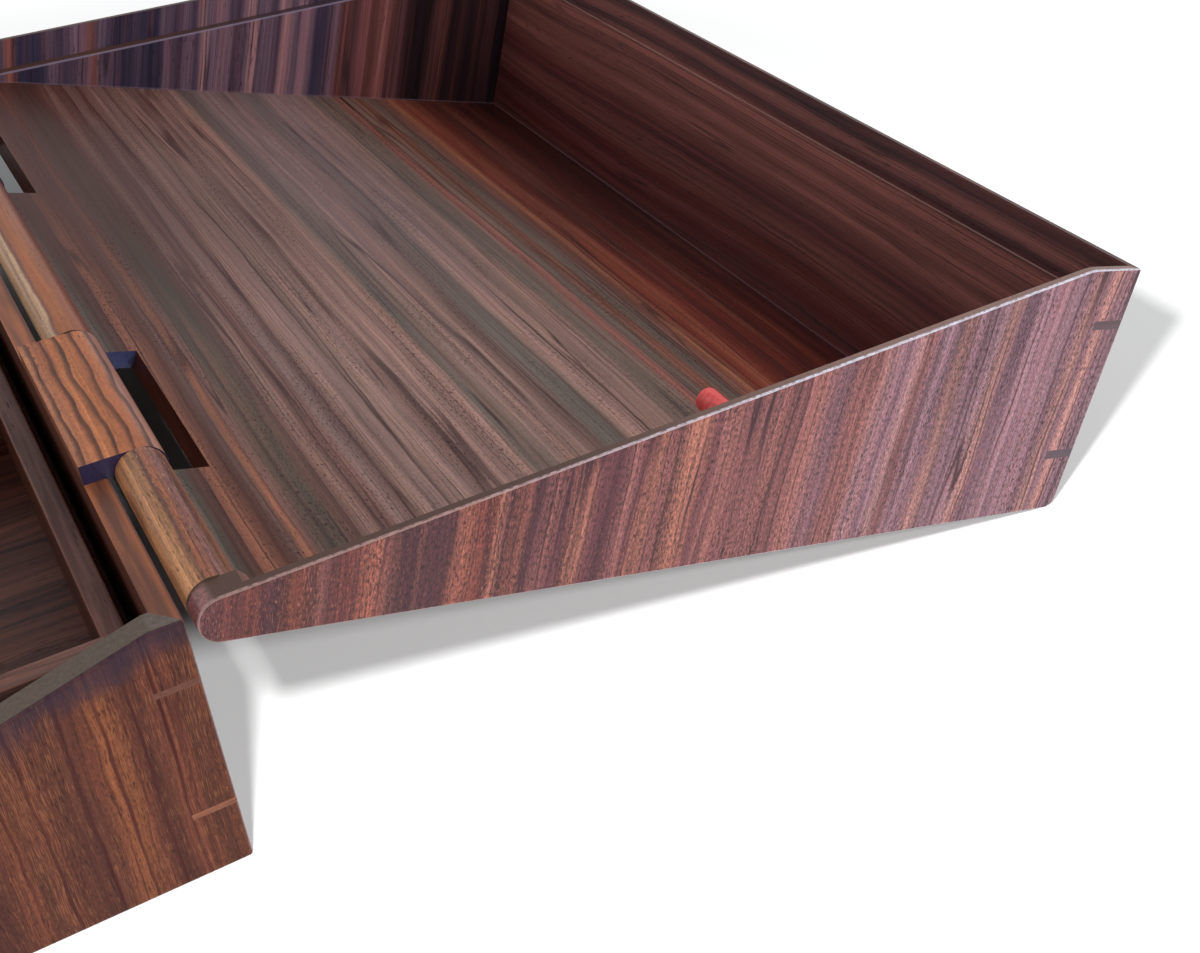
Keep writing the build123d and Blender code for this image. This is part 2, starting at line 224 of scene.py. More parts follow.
class Grain:
    """Places on a board, in millimetres across the grain, along it and through the board."""

    def __init__(self, graph, axes, origin, seed, wander, curl):
        self.graph = graph
        self.shift = seed * SEED_STEP
        place = graph.node("ShaderNodeTexCoord").outputs["Object"]
        scaled = graph.node("ShaderNodeVectorMath", {0: place, "Scale": 1000.0}, operation="SCALE").outputs[0]
        moved = graph.node("ShaderNodeVectorMath", {0: scaled, 1: origin}, operation="SUBTRACT").outputs[0]
        self.across, self.along, self.through = [graph.dot(moved, axis) for axis in axes]
        normal = graph.node("ShaderNodeTexCoord").outputs["Normal"]
        self.facing = [graph.math("ABSOLUTE", graph.dot(normal, axis)) for axis in axes]
        # the figure drifts from side to side along the board, and curls a little on the way
        self.bent = self.across
        drift = self.waves(80.0, 170.0, 1.0)
        curls = self.waves(9.0, 24.0, 2.0)
        self.bent = graph.add(self.across, graph.add(graph.spread(drift, 0.0, 1.0, -wander, wander),
                                                     graph.spread(curls, 0.0, 1.0, -curl, curl)))

    def waves(self, width, length, detail=2.0, rough=0.5, offset=0.0):
        """Noise whose patches are so many millimetres across the grain and along it."""
        graph = self.graph
        at = graph.vector(graph.add(graph.mul(self.bent, 1 / width), self.shift + offset),
                          graph.mul(self.along, 1 / length), graph.mul(self.through, 1 / width))
        return graph.noise(at, detail, rough)


def growth_lines(graph, grain, gap, start=0.8):
    """Dark lines that fade in slowly and end sharply, no two alike, and a tone for each ring. start
    is where in its ring a line begins."""
    uneven = graph.spread(graph.noise_1d(graph.add(graph.mul(grain.bent, 0.06), grain.shift + gap), 1.0),
                          0.0, 1.0, 0.0, 24.0 / gap)
    ring = graph.add(graph.mul(grain.bent, 1.0 / gap), uneven)
    phase = graph.math("FRACT", ring)
    tone = graph.random(graph.add(graph.math("FLOOR", ring), grain.shift))
    line = graph.mul(graph.step(phase, start, DARKEST), graph.step(phase, 1.0, DARKEST))
    patchy = graph.spread(grain.waves(5.0, 60.0, 1.0, offset=2.7), 0.35, 0.65, 0.5, 1.0)
    strength = graph.mul(graph.spread(tone, 0.0, 1.0, 0.35, 1.0), patchy)
    return graph.mul(line, strength), tone


def veins(graph, grain, gap):
    """Thin dark lines that wander, part and meet."""
    field = grain.waves(gap * 1.4, 320.0, 1.6, offset=5.3)
    thin = graph.step(graph.math("ABSOLUTE", graph.add(field, -0.5)), 0.02, 0.0)
    return graph.mul(thin, graph.spread(grain.waves(12.0, 45.0, 1.0, offset=8.1), 0.35, 0.6, 0.2, 1.0))


def dashes(graph, grain, width, length, share, offset):
    """Short strokes along the grain, crowded in some places and rare in others."""
    field = grain.waves(width, length, 0.6, offset=offset)
    crowd = graph.spread(grain.waves(7.0, 70.0, 2.0, offset=offset + 1.9), 0.3, 0.7, -0.1, 0.1)
    cut = 0.74 - 0.2 * share
    return graph.step(graph.add(field, crowd), cut, cut + 0.06)


def band_colour(graph, place, bands):
    """Blends from tone to tone along the list of (millimetres, tone)."""
    colour = None
    for first in range(0, len(bands) - 1, RAMP_STOPS - 1):
        part = bands[first:first + RAMP_STOPS]
        start, end = part[0][0], part[-1][0]
        stops = [((position - start) / (end - start), tone) for position, tone in part]
        made = graph.ramp(graph.spread(place, start, end, 0.0, 1.0), stops)
        past = graph.math("GREATER_THAN", place, start)
        colour = graph.mix(past, colour, made) if colour else made
    return colour


def rosewood(name, axes, bands, origin=HINGE, seed=0.0, wander=4.0, curl=0.7, gap=5.0, lines=0.6,
             vein=0.5, streaks=0.2, fibres=0.16, speckle=0.1, pores=0.4, pore_depth=0.6,
             pore_tone=INK, pore_size=(0.4, 5.0), flecks=0.0, fleck_tone=BLUSH, fleck_size=(0.35, 3.0),
             light=SALMON, dark=INK, end_tone=OLIVE, wear_and_highlight=0.4, wear_and_highlight_tone=BLUSH, roughness=0.4,
             specular=0.5, finish=None):
    """A board of striped rosewood. axes are the directions across, along and through the board.

    bands lists (millimetres across, tone). wander, curl, gap and the sizes are millimetres too,
    and the other amounts run from 0 to 1. finish may change the colour and the roughness of
    chosen places.
    """
    material, graph, shader = new_material(name, specular)
    grain = Grain(graph, axes, origin, seed, wander, curl)

    colour = band_colour(graph, grain.bent, bands)

    # broad and narrow streaks, some towards the light tone and some towards the dark one
    broad = grain.waves(6.5, 190.0, 3.0, 0.6)
    colour = graph.mix(graph.spread(broad, 0.5, 0.72, 0.0, streaks * 1.6), colour, light)
    colour = graph.mix(graph.spread(broad, 0.5, 0.28, 0.0, streaks * 2.0), colour, dark)
    narrow = grain.waves(1.7, 90.0, 3.0, 0.6, offset=4.4)
    fibre = grain.waves(0.4, 22.0, 4.0, 0.65)
    wool = grain.waves(0.5, 1.2, 3.0, 0.7, offset=6.6)
    ring_line, ring_tone = growth_lines(graph, grain, gap)
    brightness = graph.add(graph.spread(narrow, 0.3, 0.7, 1.0 - streaks * 1.3, 1.0 + streaks * 1.3),
                           graph.spread(ring_tone, 0.0, 1.0, -0.09, 0.09))
    brightness = graph.add(brightness, graph.spread(fibre, 0.28, 0.72, -fibres, fibres))
    brightness = graph.add(brightness, graph.spread(wool, 0.28, 0.72, -speckle, speckle))
    colour = graph.brighten(colour, brightness)
    fine_line, _ = growth_lines(graph, grain, gap * FINE_LINES, 0.5)
    colour = graph.mix(graph.mul(ring_line, lines), colour, dark)
    colour = graph.mix(graph.mul(fine_line, lines * 0.6), colour, dark)
    colour = graph.mix(graph.mul(veins(graph, grain, gap), vein), colour, dark)

    pore = dashes(graph, grain, *pore_size, pores, 11.0)
    colour = graph.mix(graph.mul(pore, pore_depth), colour, pore_tone)
    if flecks:
        fleck = dashes(graph, grain, *fleck_size, flecks, 17.0)
        colour = graph.mix(graph.mul(fleck, 0.5), colour, fleck_tone)

    # cut ends across the grain, and arrises made paler, partly by wear from handling and partly as a painted
    # highlight
    end_grain = graph.step(grain.facing[1], 0.75, 0.95)
    end_colour = graph.brighten(end_tone, graph.spread(wool, 0.25, 0.75, 0.72, 1.28))
    colour = graph.mix(graph.mul(end_grain, 0.95), colour, end_colour)
    flattest = graph.math("MAXIMUM", graph.math("MAXIMUM", grain.facing[0], grain.facing[1]), grain.facing[2])
    worn_and_highlit = graph.mul(graph.step(flattest, 0.94, 0.86), graph.spread(narrow, 0.3, 0.7, wear_and_highlight * 0.5, wear_and_highlight))
    if wear_and_highlight:
        colour = graph.mix(worn_and_highlit, colour, wear_and_highlight_tone)
    rough = graph.add(graph.spread(fibre, 0.25, 0.75, roughness - 0.05, roughness + 0.07),
                      graph.add(graph.mul(pore, 0.15), graph.mul(worn_and_highlit, -0.15)))
    if finish:
        colour, rough = finish(graph, grain, colour, rough, worn_and_highlit)

    height = graph.add(graph.mul(pore, -1.0), graph.add(graph.mul(fibre, 0.5), graph.mul(wool, 0.4)))
    bump = graph.node("ShaderNodeBump", {"Height": height, "Strength": 0.35, "Distance": 0.00012})
    tree = material.node_tree
    tree.links.new(colour, shader.inputs["Base Color"])
    tree.links.new(rough, shader.inputs["Roughness"])
    tree.links.new(bump.outputs[0], shader.inputs["Normal"])
    return material


def lid_side_finish(graph, grain, colour, rough, worn_and_highlit):
    """The rim is dark towards the hinge, and its outer arris carries a painted pale highlight, strongest
    towards the free end. Inside there is a painted highlight line under the ledge and another along the
    panel."""
    depth = graph.math("ABSOLUTE", grain.through)
    lip = graph.mul(graph.step(grain.facing[1], 0.75, 0.95), graph.step(grain.across, 170.0, 60.0))
    colour = graph.mix(graph.mul(lip, 0.95), colour, RIM_BROWN)
    # painted pale highlight on the outer arris, paler towards the free end
    arris = graph.mul(graph.math("MINIMUM", graph.mul(worn_and_highlit, 3.0), 1.0),
                      graph.step(depth, LID_HALF_WIDTH - 1.0, LID_HALF_WIDTH - 0.6))
    upper = graph.step(grain.facing[2], 0.6, 0.3)
    top_highlight = graph.mul(graph.step(depth, LID_HALF_WIDTH - 0.9, LID_HALF_WIDTH - 0.5), upper)
    uneven = graph.spread(grain.waves(1.2, 2.0, 2.0, offset=19.0), 0.35, 0.6, 0.2, 1.0)
    painted_highlight = graph.math("MAXIMUM", arris, graph.mul(top_highlight, uneven))
    tone = graph.mix(graph.step(grain.across, 0.0, 60.0), ARRIS_HIGHLIGHT_ROSE, BLUSH)
    tone = graph.mix(graph.step(grain.across, 40.0, 150.0), tone, HIGHLIGHT_PALE)
    colour = graph.mix(graph.mul(painted_highlight, 0.9), colour, tone)
    inner = graph.step(depth, LID_INNER_FACE + 0.5, LID_INNER_FACE + 0.2)
    below_ledge = graph.math("SUBTRACT", graph.add(graph.mul(grain.across, BASE_SLOPE), LEDGE_AT_AXIS),
                             grain.along)
    # painted highlight lines under the ledge and along the foot of the side
    ledge = graph.mul(graph.near(below_ledge, 0.35, 0.5), inner)
    foot = graph.mul(graph.near(grain.along, PANEL_FACE + 0.3, 0.35), inner)
    colour = graph.mix(graph.mul(ledge, 0.75), colour, LEDGE_HIGHLIGHT)
    colour = graph.mix(graph.mul(foot, 0.3), colour, FOOT_HIGHLIGHT)
    return colour, graph.add(rough, graph.mul(painted_highlight, -0.1))


def panel_finish(graph, grain, colour, rough, worn_and_highlit):
    """Painted shade darkens the far corners, a painted grey sheen lies over the far middle, and the slots'
    long walls are deep brown."""
    # painted shade towards the far corner by the hinge
    left = graph.spread(grain.across, 15.0, 110.0, 1.0, 0.3)
    far = graph.mul(graph.step(grain.along, -90.0, 60.0), left)
    colour = graph.mix(graph.mul(far, 0.85), colour, FAR_CORNER_SHADE)
    # painted shade in the corner by the end wall
    deep = graph.mul(graph.step(grain.across, 180.0, 200.0), graph.step(grain.along, -60.0, 60.0))
    colour = graph.mix(graph.mul(deep, 0.4), colour, BLACK)
    # painted grey sheen over the far middle
    cool = graph.mul(graph.near(grain.across, 118.0, 34.0), graph.step(grain.along, -60.0, 60.0))
    colour = graph.mix(graph.mul(cool, 0.3), colour, FAR_MIDDLE_SHEEN)
    wall = graph.step(grain.facing[0], 0.4, 0.7)
    walnut = graph.brighten(SLOT_WALL, graph.spread(grain.waves(1.0, 8.0, 3.0), 0.3, 0.7, 0.5, 1.5))
    return graph.mix(graph.mul(wall, 0.9), colour, walnut), rough


def end_wall_finish(graph, grain, colour, rough, worn_and_highlit):
    """Thin painted highlight lines at the ledge's arris and along the foot of the wall."""
    inside = graph.step(grain.through, END_INNER_FACE + 0.5, END_INNER_FACE + 0.2)
    ledge = graph.near(grain.across, LEDGE - 0.15, 0.28)
    foot = graph.near(grain.across, PANEL_FACE + 0.3, 0.36)
    colour = graph.mix(graph.mul(graph.mul(ledge, inside), 0.75), colour, END_LEDGE_HIGHLIGHT)
    colour = graph.mix(graph.mul(graph.mul(foot, inside), 0.3), colour, END_FOOT_HIGHLIGHT)
    return colour, rough


def base_side_finish(graph, grain, colour, rough, worn_and_highlit):
    """A few long red lines, a dark stain near the hinge's corner, a painted grey sheen on the top edge, and a
    rubbed mitre on top.
    """
    edge = graph.math("MINIMUM", graph.mul(graph.add(grain.across, -SLOPE_START), BASE_SLOPE), 0.0)
    depth = graph.math("SUBTRACT", graph.add(edge, BASE_TOP), grain.along)
    for place in RED_LINES:
        line = graph.mul(graph.near(grain.bent, place, 0.5), grain.waves(3.0, 40.0, 1.0, offset=place))
        colour = graph.mix(graph.mul(line, 1.4), colour, RED_LINE)
    cloudy = graph.spread(grain.waves(12.0, 16.0, 2.0, offset=21.0), 0.3, 0.7, 5.0, 13.0)
    stain = graph.mul(graph.step(graph.math("DIVIDE", depth, cloudy), 1.2, 0.2),
                      graph.step(grain.across, -80.0, -30.0))
    colour = graph.mix(graph.mul(stain, 0.75), colour, STAIN)
    top = graph.step(grain.facing[1], 0.9, 0.96)
    # painted grey sheen on the top edge
    sheen_top = graph.brighten(SHEEN_TOP_GREY, graph.spread(grain.waves(0.8, 0.8, 3.0), 0.3, 0.7, 0.85, 1.15))
    colour = graph.mix(graph.mul(top, 0.9), colour, sheen_top)
    corner = graph.step(grain.across, SLOPE_START - 0.2, SLOPE_START + 1.3)
    mitre = graph.mul(graph.mul(top, corner),
                      graph.spread(grain.waves(1.5, 1.5, 3.0, offset=3.0), 0.4, 0.6, 0.1, 0.9))
    return graph.mix(mitre, colour, RUBBED_MITRE), graph.add(rough, graph.mul(top, 0.1))


def rear_wall_finish(graph, grain, colour, rough, worn_and_highlit):
    """A brown top edge with orange streaks."""
    top = graph.step(grain.facing[0], 0.9, 0.96)
    streak = graph.spread(grain.waves(3.0, 60.0, 3.0, offset=13.0), 0.38, 0.62, 0.0, 0.85)
    colour = graph.mix(graph.mul(top, 0.75), colour, WALL_TOP)
    return graph.mix(graph.mul(top, streak), colour, WALL_STREAK), rough


def knuckle_finish(graph, grain, colour, rough, worn_and_highlit):
    """Dark wavy stripes over bright wood, fading out on the end faces."""
    wavy = graph.add(grain.bent, graph.spread(grain.waves(12.0, 34.0, 3.0, offset=7.0), 0.0, 1.0, -2.2, 2.2))
    phase = graph.math("FRACT", graph.mul(wavy, 1 / KNUCKLE_STRIPE_GAP))
    stripe = graph.mul(graph.step(phase, 0.5, 0.84), graph.step(phase, 1.0, 0.92))
    patchy = graph.spread(grain.waves(1.6, 14.0, 3.0, offset=9.0), 0.3, 0.7, 0.7, 1.0)
    shown = graph.mul(graph.step(grain.facing[1], 0.95, 0.75), 0.95)
    return graph.mix(graph.mul(graph.mul(stripe, patchy), shown), colour, KNUCKLE_STRIPE), rough


SIDE_AXES = (LID_ALONG, LID_UP, Y)
PANEL_AXES = (LID_ALONG, Y, LID_UP)
END_AXES = (LID_UP, Y, LID_ALONG)

# Towards the free end these tones are painted paler and bluer, as painted light over the wood's own stripes.
near_side_bands = [
    (-8, DUSTY), (0, RUST), (5, RUST), (9, GARNET), (14, BRICK), (19, GARNET), (25, RUST), (31, EMBER),
    (34, GARNET), (38, GARNET), (45, GARNET), (50, EMBER), (53, RUST), (56, RUST), (58, SALMON),
    (60, GARNET), (62, EMBER), (66, GARNET), (70, DUSTY), (74, DAMSON), (78, SALMON), (82, DAMSON),
    (86, DAMSON), (90, ROSE), (92, DAMSON), (96, SALMON), (99, DUSTY), (105, SALMON), (111, DAMSON),
    (114, ROSE), (119, DUSTY), (127, ROSE), (131, DUSTY), (134, DUSTY), (140, ROSE), (146, DUSK),
    (151, ROSE), (156, ROSE), (160, HEATHER), (164, DUSK), (168, PINK), (171, DUSTY), (175, HEATHER),
    (179, DUSK), (183, PEACH), (187, HEATHER), (190, DUSK), (194, HEATHER), (198, PEACH), (201, DUSK),
    (205, DUSK), (208, HEATHER), (212, DUSK), (217, HEATHER), (222, DUSK), (226, PEACH), (229, DUSK),
    (232, PEACH), (235, DUSK), (238, HEATHER),
]
# The lilac, violet and navy tones carry a painted bluish sheen over the wood, and the near-black tones from
# 188 mm on are partly painted shade from the end wall.
far_side_bands = [
    (-8, PURPLE), (22, LILAC), (28, LILAC), (31, EMBER), (34, NAVY), (42, NAVY), (46, LILAC), (50, VIOLET),
    (54, LILAC), (58, DUSK), (60, SIENNA), (63, LILAC), (67, VIOLET), (71, NAVY), (77, VIOLET), (80, NAVY),
    (85, NAVY), (87, LILAC), (92, VIOLET), (96, LILAC), (99, VIOLET), (102, PINK), (104, LILAC),
    (109, HEATHER), (112, LILAC), (115, VIOLET), (118, LILAC), (121, PINK), (124, LILAC), (128, LILAC),
    (131, VIOLET), (134, PINK), (138, LILAC), (143, HEATHER), (147, NAVY), (151, VIOLET), (155, LILAC),
    (158, MADDER), (163, PURPLE), (167, DUSTY), (172, MADDER), (176, ROSE), (179, MADDER), (183, PURPLE),
    (188, INK), (196, BLACK), (200, UMBER), (204, RUSSET), (207, INK), (212, UMBER), (216, INK),
    (220, UMBER), (228, BLACK), (240, INK),
]
panel_bands = [
    (5, SAND), (8, STONE), (12, CLAY), (15, TAN), (17, CLAY), (19, COFFEE), (22, COCOA), (24, TAN),
    (26, COCOA), (29, STONE), (34, STONE), (38, COCOA), (41, SAND), (43, COCOA), (46, COCOA), (49, TAUPE),
    (53, COCOA), (56, BISQUE), (60, TAUPE), (66, SAND), (68, BISQUE), (71, TAUPE), (76, BISQUE), (80, TAUPE),
    (84, BISQUE), (87, TAUPE), (90, BISQUE), (93, MOSS), (97, MOSS), (103, BISQUE), (106, TAUPE),
    (109, SAND), (112, BISQUE), (115, SAND), (118, MOSS), (123, MOSS), (127, BISQUE), (131, TAUPE),
    (134, BISQUE), (138, SAND), (144, SAND), (147, MOSS), (154, MOSS), (158, SIENNA), (162, MOSS),
    (168, CLAY), (172, MOSS), (176, COCOA), (180, CLAY), (182, TAN), (185, WINE), (190, BRICK), (194, WINE),
    (197, WINE), (200, OX), (206, WINE), (212, OX), (218, WINE), (224, OX), (230, OX), (236, INK),
]
end_bands = [
    (-6, OX), (2, MAROON), (6, OX), (10, MAROON), (14, OX), (20, MADDER), (24, MADDER), (27, MAROON),
    (31, MAROON), (35, MADDER), (39, SIENNA), (42, MADDER), (46, SIENNA), (49, MADDER), (55, SIENNA),
    (58, PLUM), (62, SIENNA), (65, PLUM), (70, MADDER),
]
base_side_bands = [
    (-240, PURPLE), (-190, BARK), (-150, COFFEE), (-120, BARK), (-95, COFFEE), (-80, BRICK), (-72, BARK),
    (-58, COFFEE), (-52, BARK), (-48, COFFEE), (-44, BARK), (-39, COFFEE), (-35, COFFEE), (-32, BARK),
    (-30, CARAMEL), (-27, CARAMEL), (-24, BARK), (-21, COFFEE), (-17, BARK), (-14, BARK), (-11, COFFEE),
    (-8, BARK), (-4, PURPLE),
]
base_wall_bands = [(-72, UMBER), (-50, RUSSET), (-30, PLUM), (-12, RUSSET), (4, RUSSET)]
tray_bands = [(-50, UMBER), (-30, COFFEE), (-14, COFFEE), (-8, COCOA)]
barrel_near_bands = [(-7, BRICK), (-6.2, HONEY), (-4, HONEY), (-3, CLAY), (-1.8, ORANGE), (0, SIENNA),
                     (2, CLAY), (4, SIENNA), (6, RUSSET)]
barrel_bands = [(-7, CREAM), (-4.8, CREAM), (-4.2, RUSSET), (-3.6, CHESTNUT), (-1, CHESTNUT),
                (1.6, CARAMEL), (3.2, RUSSET), (6, PURPLE)]

materials = {
    "lid_side_near": rosewood(
        "lid_side_near_wood", SIDE_AXES, near_side_bands, seed=1, wander=3.0, curl=1.2, gap=6.0, lines=1.0,
        vein=1.0, streaks=0.24, fibres=0.3, speckle=0.8, pores=0.6, pore_depth=0.7, pore_size=(0.4, 1.6),
        flecks=0.3, fleck_size=(0.25, 1.6), fleck_tone=SALMON, light=SALMON, dark=rgb(66, 30, 40),
        pore_tone=rgb(58, 28, 32), end_tone=SAND, wear_and_highlight=0.3, specular=0.3, finish=lid_side_finish),
    "lid_side_far": rosewood(
        "lid_side_far_wood", SIDE_AXES, far_side_bands, seed=14, wander=3.0, gap=5.0, lines=0.7, vein=0.7,
        streaks=0.2, light=DUSTY, dark=rgb(40, 26, 40), pores=0.2, end_tone=rgb(50, 38, 46), wear_and_highlight=0.3,
        specular=0.3, finish=lid_side_finish),
    "panel": rosewood(
        "lid_panel_wood", PANEL_AXES, panel_bands, seed=2, wander=2.5, curl=0.6, gap=5.0, lines=1.0,
        vein=0.9, streaks=0.15, fibres=0.3, speckle=0.2, pores=0.4, pore_depth=0.75, pore_size=(0.24, 1.6),
        light=SALMON, dark=rgb(54, 29, 27), end_tone=SLOT_END, specular=0.16, finish=panel_finish),
    "end": rosewood(
        "lid_end_wood", END_AXES, end_bands, seed=3, wander=4.0, curl=0.6, gap=4.0, lines=1.0, vein=0.6,
        streaks=0.13, fibres=0.2, light=BRICK, dark=INK, pores=0.15, wear_and_highlight_tone=TAN, specular=0.3,
        finish=end_wall_finish),
    "base_side": rosewood(
        "base_side_wood", (X, Z, Y), base_side_bands, seed=4, wander=2.0, curl=1.2, gap=4.2, lines=0.85,
        vein=0.9, streaks=0.2, fibres=0.42, speckle=0.34, pores=0.3, pore_size=(0.3, 2.6), flecks=0.6,
        fleck_tone=rgb(150, 94, 62), fleck_size=(0.2, 4.5), light=CARAMEL, dark=rgb(60, 20, 18),
        end_tone=OLIVE, wear_and_highlight=0.1, specular=0.14, roughness=0.5, finish=base_side_finish),
    "base_wall": rosewood("base_wall_wood", (Z, Y, X), base_wall_bands, seed=5, streaks=0.25, light=TAN,
                          pores=0.2, specular=0.3, finish=rear_wall_finish),
    "bottom": rosewood("bottom_wood", (Y, X, Z), [(-180, UMBER), (0, RUSSET), (180, UMBER)], seed=6,
                       streaks=0.25, light=RUSSET, pores=0.15, specular=0.3),
    "tray_floor": rosewood("tray_floor_wood", (Y, X, Z), [(-180, UMBER), (-120, COFFEE), (180, COFFEE)],
                           seed=15, wander=9.0, curl=2.0, gap=9.0, lines=0.5, vein=0.6, streaks=0.34,
                           light=CLAY, dark=rgb(34, 18, 16), pores=0.2, specular=0.25),
    "tray_long": rosewood("tray_long_wood", (Z, Y, X), tray_bands, seed=7, light=TAN, dark=UMBER,
                          pores=0.15, streaks=0.3, wear_and_highlight_tone=TAN, wear_and_highlight=0.6, specular=0.12),
    "tray_end": rosewood("tray_end_wood", (Z, X, Y), tray_bands, seed=8, pores=0.15, streaks=0.3,
                         light=TAN, wear_and_highlight_tone=TAN, specular=0.14),
    "barrel_near": rosewood(
        "barrel_near_wood", PANEL_AXES, barrel_near_bands, seed=9, gap=2.6, wander=0.9, curl=0.8, lines=0.6,
        vein=0.7, streaks=0.3, fibres=0.25, speckle=0.3, pores=0.35, pore_tone=UMBER, pore_size=(0.35, 3.0),
        flecks=0.2, fleck_tone=CREAM, fleck_size=(0.25, 2.0), light=HONEY, dark=UMBER, wear_and_highlight=0.0,
        roughness=0.35, specular=0.4),
    "barrel": rosewood(
        "barrel_wood", PANEL_AXES, barrel_bands, seed=16, gap=2.6, wander=0.8, curl=1.0, lines=0.3,
        speckle=0.25, pores=0.35, pore_tone=UMBER, pore_size=(0.35, 3.0), light=HONEY, dark=BRICK, wear_and_highlight=0.0,
        roughness=0.35, specular=0.4),
    "knuckle": rosewood(
        "knuckle_wood", (X, Y, Z), [(-14, TAN), (-9, ORANGE), (-4, AMBER), (1, ORANGE), (4, TAN)],
        seed=10, gap=3.0, wander=1.0, lines=0.3, speckle=0.3, pores=0.3, pore_tone=UMBER,
        pore_size=(0.3, 2.0), light=HONEY, dark=RUSSET, end_tone=KNUCKLE_END, wear_and_highlight=0.4, wear_and_highlight_tone=BLUSH,
        specular=0.3, finish=knuckle_finish),
    "slip": rosewood("slip_wood", (LID_UP, LID_ALONG, Y), [(-6, SLATE), (70, SLATE)], seed=11, lines=0.1,
                     streaks=0.05, pores=0.1, wear_and_highlight=0.0, specular=0.3),
    "light_slip": rosewood("light_slip_wood", (Z, X, Y), [(-60, CARAMEL), (-30, CARAMEL), (-15, BARK)],
                           seed=12, lines=0.1, speckle=0.3, wear_and_highlight=0.0, specular=0.3),
}
node_material = {
    "lid_side_near": "lid_side_near", "lid_side_far": "lid_side_far", "lid_end_wall": "end",
    "lid_panel": "panel", "lid_slips_near": "slip", "lid_slips_far": "slip",
    "hinge_barrel_near": "barrel_near", "hinge_barrel_middle": "barrel", "hinge_barrel_far": "barrel",
    "hinge_plug_near": "lid_side_near", "hinge_plug_far": "lid_side_far",
    "knuckle_near": "knuckle", "knuckle_far": "knuckle",
    "base_side_near": "base_side", "base_side_far": "base_side", "base_rear_wall": "base_wall",
    "base_front_wall": "base_wall", "base_bottom_panel": "bottom",
    "base_slips_rear_near": "light_slip", "base_slips_rear_far": "light_slip",
    "base_slip_front_near": "light_slip", "base_slip_front_far": "light_slip",
    "tray_runner_near": "bottom", "tray_runner_far": "bottom",
    "tray_end_near": "tray_end", "tray_end_far": "tray_end",
    "tray_rear_wall": "tray_long", "tray_front_wall": "tray_long", "tray_floor": "tray_floor",
    "tray_divider_near": "tray_end", "tray_divider_far": "tray_end",
}


def red_paint():
    """Coral red paint, mottled and a little glossy."""
    material, graph, shader = new_material("peg_paint")
    place = graph.node("ShaderNodeTexCoord").outputs["Object"]
    mottle = graph.noise(place, detail=4.0, rough=0.6, scale=900.0)
    colour = graph.ramp(mottle, [(0.3, rgb(196, 58, 54)), (0.6, rgb(226, 82, 78)), (0.8, rgb(238, 118, 110))])
    material.node_tree.links.new(colour, shader.inputs["Base Color"])
    rough = graph.spread(mottle, 0.3, 0.7, 0.3, 0.5)
    material.node_tree.links.new(rough, shader.inputs["Roughness"])
    bump = graph.node("ShaderNodeBump", {"Height": mottle, "Strength": 0.2, "Distance": 0.0001})
    material.node_tree.links.new(bump.outputs[0], shader.inputs["Normal"])
    return material


def drawn_steel():
    """Plain drawn rod, with fine lines along it."""
    material, graph, shader = new_material("pin_steel")
    shader.inputs["Metallic"].default_value = 1.0
    place = graph.node("ShaderNodeTexCoord").outputs["Object"]
    lines = graph.node("ShaderNodeVectorMath", {0: place, 1: (4000, 60, 4000)}, operation="MULTIPLY")
    streak = graph.noise(lines.outputs[0], detail=3.0)
    colour = graph.ramp(streak, [(0.3, rgb(140, 140, 142)), (0.7, rgb(188, 188, 190))])
    material.node_tree.links.new(colour, shader.inputs["Base Color"])
    rough = graph.spread(streak, 0.3, 0.7, 0.25, 0.45)
    material.node_tree.links.new(rough, shader.inputs["Roughness"])
    return material


materials["peg"] = red_paint()
materials["steel"] = drawn_steel()
node_material["red_peg"] = "peg"
node_material["hinge_pin"] = "steel"

for node_name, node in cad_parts.items():
    node.data.materials.clear()
    node.data.materials.append(materials[node_material[node_name]])


# Floor, light and camera -----------------------------------------------------------------------
# Here lengths are in metres and angles in degrees.
FLOOR_SIZE = 10
FADE_START, FADE_END = 0.42, 0.75
OBJECT_MIDDLE = (0.1, 0.0, 0.0)
SKY = (0.95, 0.97, 1.0, 1)
SKY_LIGHT, SKY_SEEN = 0.72, 1.1
CAMERA_PLACE = (0.08642, -0.40864, 0.26152)
CAMERA_TURN = (53.331, 1.858, -31.353)
CAMERA_LENS = 44.06  # millimetres, on a sensor of 36
CAMERA_SHIFT = (-0.0439, 0.0034)


def build_floor():
    """A pale floor that the light brings to white, with the object's soft shadow on it."""
    bpy.ops.mesh.primitive_plane_add(size=FLOOR_SIZE)
    floor = bpy.context.object
    floor.name = "floor"
    material, graph, shader = new_material("floor_pale", specular=0.0)
    place = graph.node("ShaderNodeTexCoord").outputs["Object"]
    stops = [(0.3, (0.3, 0.3, 0.3, 1)), (0.7, (0.32, 0.32, 0.32, 1))]
    colour = graph.ramp(graph.noise(place, scale=3.0), stops)
    material.node_tree.links.new(colour, shader.inputs["Base Color"])
    shader.inputs["Roughness"].default_value = 0.9
    # far from the object the floor fades into the white background
    away = graph.node("ShaderNodeVectorMath", {0: place, 1: OBJECT_MIDDLE}, operation="DISTANCE")
    seen = graph.node("ShaderNodeLightPath").outputs["Is Camera Ray"]
    glow = graph.mul(graph.step(away.outputs["Value"], FADE_START, FADE_END), seen)
    shader.inputs["Emission Color"].default_value = (1, 1, 1, 1)
    material.node_tree.links.new(glow, shader.inputs["Emission Strength"])
    floor.data.materials.append(material)
    return floor


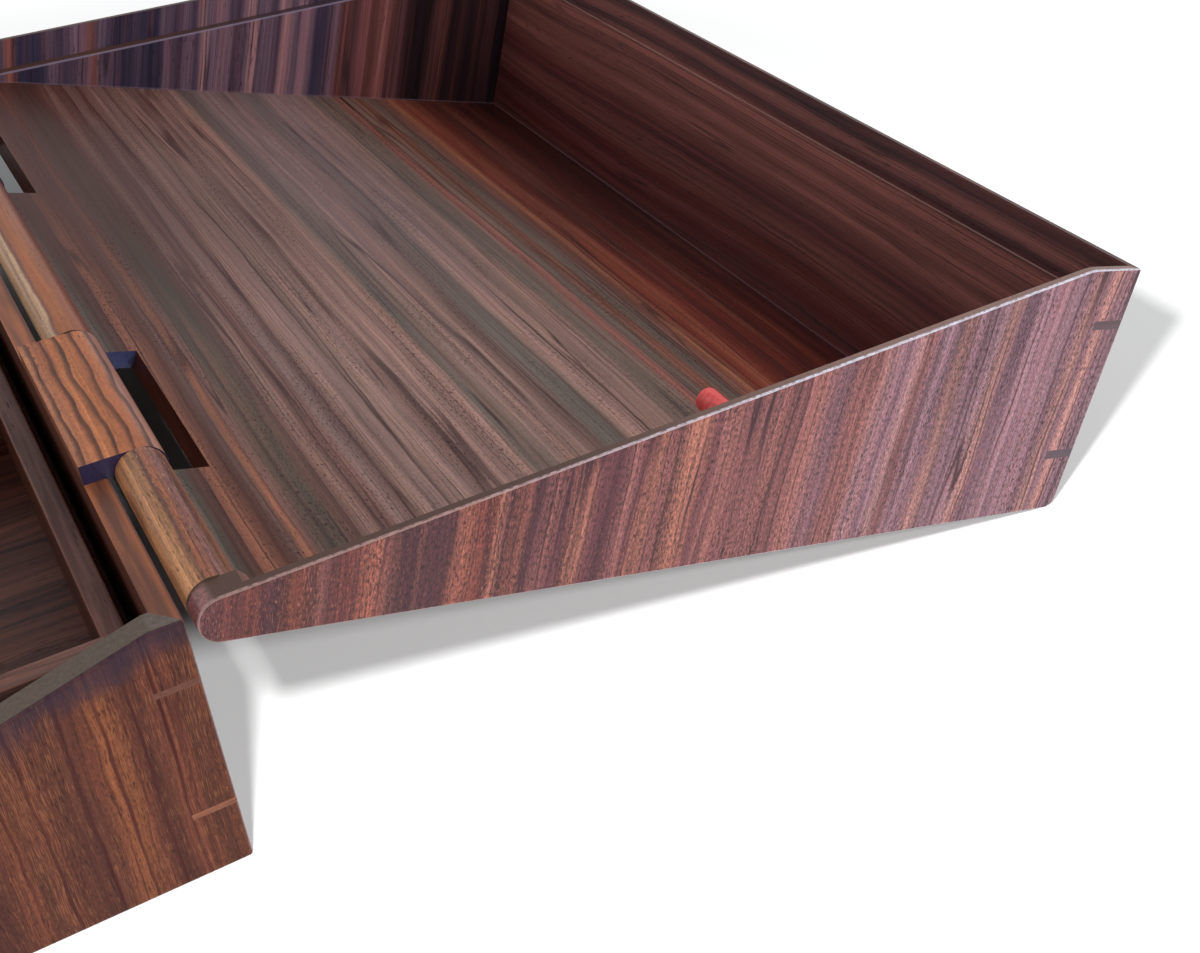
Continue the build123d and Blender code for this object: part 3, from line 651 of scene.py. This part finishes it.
def build_world():
    """Even white light from all round, seen as white."""
    world = bpy.data.worlds.new("world")
    scene.world = world
    world.use_nodes = True
    graph = Graph(world.node_tree)
    background = world.node_tree.nodes["Background"]
    background.inputs["Color"].default_value = SKY
    seen = graph.node("ShaderNodeLightPath").outputs["Is Camera Ray"]
    strength = graph.spread(seen, 0.0, 1.0, SKY_LIGHT, SKY_SEEN)
    world.node_tree.links.new(strength, background.inputs["Strength"])


def add_lamp(name, data, receivers, location=(0, 0, 0), rotation=(0, 0, 0)):
    """A lamp that lights only the receivers; everything still casts its shadow."""
    lamp = bpy.data.objects.new(name, data)
    scene.collection.objects.link(lamp)
    lamp.location = location
    lamp.rotation_euler = [radians(value) for value in rotation]
    lit = bpy.data.collections.new(name + "_receivers")
    for receiver in receivers:
        lit.objects.link(receiver)
    lamp.light_linking.receiver_collection = lit


def sun(name, energy, angle):
    data = bpy.data.lights.new(name, "SUN")
    data.energy = energy
    data.angle = radians(angle)
    return data


def level_bulb(name, energy, radius):
    """A round lamp that is as strong far away as near by."""
    data = bpy.data.lights.new(name, "POINT")
    data.energy = energy
    data.shadow_soft_size = radius
    data.use_nodes = True
    graph = Graph(data.node_tree)
    level = graph.node("ShaderNodeLightFalloff", {"Strength": 1.0}).outputs["Constant"]
    data.node_tree.links.new(level, data.node_tree.nodes["Emission"].inputs["Strength"])
    return data


def build_camera():
    data = bpy.data.cameras.new("camera")
    data.lens = CAMERA_LENS
    data.sensor_width = 36
    data.shift_x, data.shift_y = CAMERA_SHIFT
    data.clip_start = 0.01
    camera = bpy.data.objects.new("camera", data)
    scene.collection.objects.link(camera)
    camera.location = CAMERA_PLACE
    camera.rotation_euler = [radians(value) for value in CAMERA_TURN]
    scene.camera = camera


floor = build_floor()
build_world()
add_lamp("key", sun("key", energy=1.2, angle=30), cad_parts.values(), rotation=(45, 0, 60))
add_lamp("floor_fill", sun("floor_fill", energy=7.2, angle=8), [floor], rotation=(54, 0, 10))
add_lamp("floor_bulb", level_bulb("floor_bulb", energy=110.0, radius=0.014), [floor],
         location=(0.045, -0.365, 0.318))
scene.view_settings.view_transform = "Standard"
build_camera()
